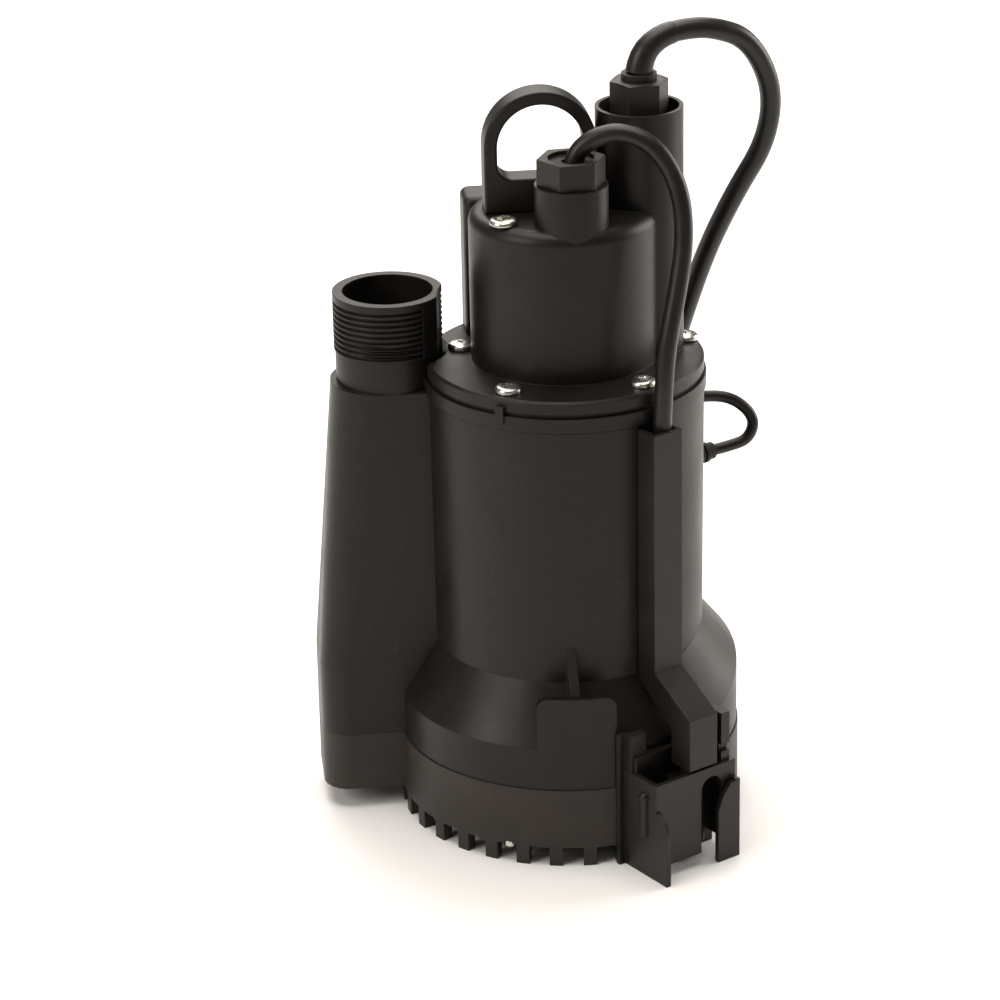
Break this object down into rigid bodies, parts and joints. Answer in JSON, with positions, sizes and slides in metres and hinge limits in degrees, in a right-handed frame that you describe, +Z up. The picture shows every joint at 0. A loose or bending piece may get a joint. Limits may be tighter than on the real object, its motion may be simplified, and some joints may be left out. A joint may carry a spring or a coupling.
{
  "type": "submersible sump pump",
  "caption": "Upright submersible sump pump with a slotted strainer base, round motor housing, side riser with a male pipe thread, arched handle, two cord glands and a level sensor.",
  "frame": {"origin": "on the motor shaft axis, at the floor level that the strainer teeth stand on", "axes": "+Z up along the shaft, -X towards the discharge riser, -Y towards the side with the level switch lead"},
  "size_m": [0.1837, 0.2767, 0.3104],
  "materials": {
    "black_housing_plastic": "moulded, fine satin grain",
    "black_base_plastic": "moulded, slightly dusty satin",
    "black_fitting_plastic": "moulded, satin",
    "cord_jacket": "satin extruded jacket",
    "black_rubber": "moulded rubber",
    "tie_nylon": "nylon strap",
    "zinc_steel": "bright zinc plated",
    "stainless_steel": "ground",
    "bearing_steel": "polished",
    "laminated_steel": "stacked laminations",
    "enamelled_copper": "enamelled wire, lashed",
    "cast_aluminium": "die cast",
    "impeller_plastic": "glass filled, moulded",
    "yellow_brass": "machined",
    "tinned_brass": "tinned tabs",
    "seal_ceramic": "lapped ceramic",
    "seal_carbon": "lapped carbon",
    "capacitor_can": "smooth can",
    "circuit_board": "solder mask",
    "relay_case": "smooth moulded case",
    "protector_case": "phenolic case"
  },
  "bodies": {
    "pump": {"base_screws": "zinc_steel", "bearing_plate": "cast_aluminium", "cable_channel": "black_fitting_plastic", "cap_gasket": "black_rubber", "capacitor": "capacitor_can", "capacitor_terminals": "tinned_brass", "carry_handle": "black_housing_plastic", "case_seal": "black_rubber", "coil_tie": "tie_nylon", "control_board": "circuit_board", "flange_screws": "zinc_steel", "lead_boots": "black_rubber", "level_sensor": "black_fitting_plastic", "lower_bearing_balls": "bearing_steel", "lower_bearing_outer": "bearing_steel", "lower_winding": "enamelled_copper", "motor_lead": "cord_jacket", "oil_plug": "zinc_steel", "plug_blades": "yellow_brass", "plug_body": "black_rubber", "power_cord": "cord_jacket", "power_cord_coil": "cord_jacket", "power_cord_tail": "cord_jacket", "power_gland_nut": "black_fitting_plastic", "power_grommet": "black_rubber", "pump_housing": "black_housing_plastic", "relay": "relay_case", "seal_plate": "black_base_plastic", "seal_seat": "seal_ceramic", "sensor_bracket": "black_fitting_plastic", "sensor_probes": "stainless_steel", "stator_core": "laminated_steel", "strainer_base": "black_base_plastic", "switch_cord": "cord_jacket", "switch_gland_nut": "black_fitting_plastic", "switch_grommet": "black_rubber", "thermal_protector": "protector_case", "top_cap": "black_housing_plastic", "upper_bearing_balls": "bearing_steel", "upper_bearing_outer": "bearing_steel", "upper_winding": "enamelled_copper"},
    "rotor": {"shaft": "stainless_steel", "rotor_core": "laminated_steel", "rotor_end_rings": "cast_aluminium", "impeller": "impeller_plastic", "impeller_nut": "yellow_brass", "seal_rotor": "seal_carbon", "seal_spring": "stainless_steel", "lower_bearing_inner": "bearing_steel", "upper_bearing_inner": "bearing_steel"}
  },
  "joints": [
    {"name": "rotor_spin", "type": "hinge", "parent": "pump", "child": "rotor", "pos_m": [0, 0, 0.1], "axis": [0, 0, 1], "continuous": true}
  ]
}
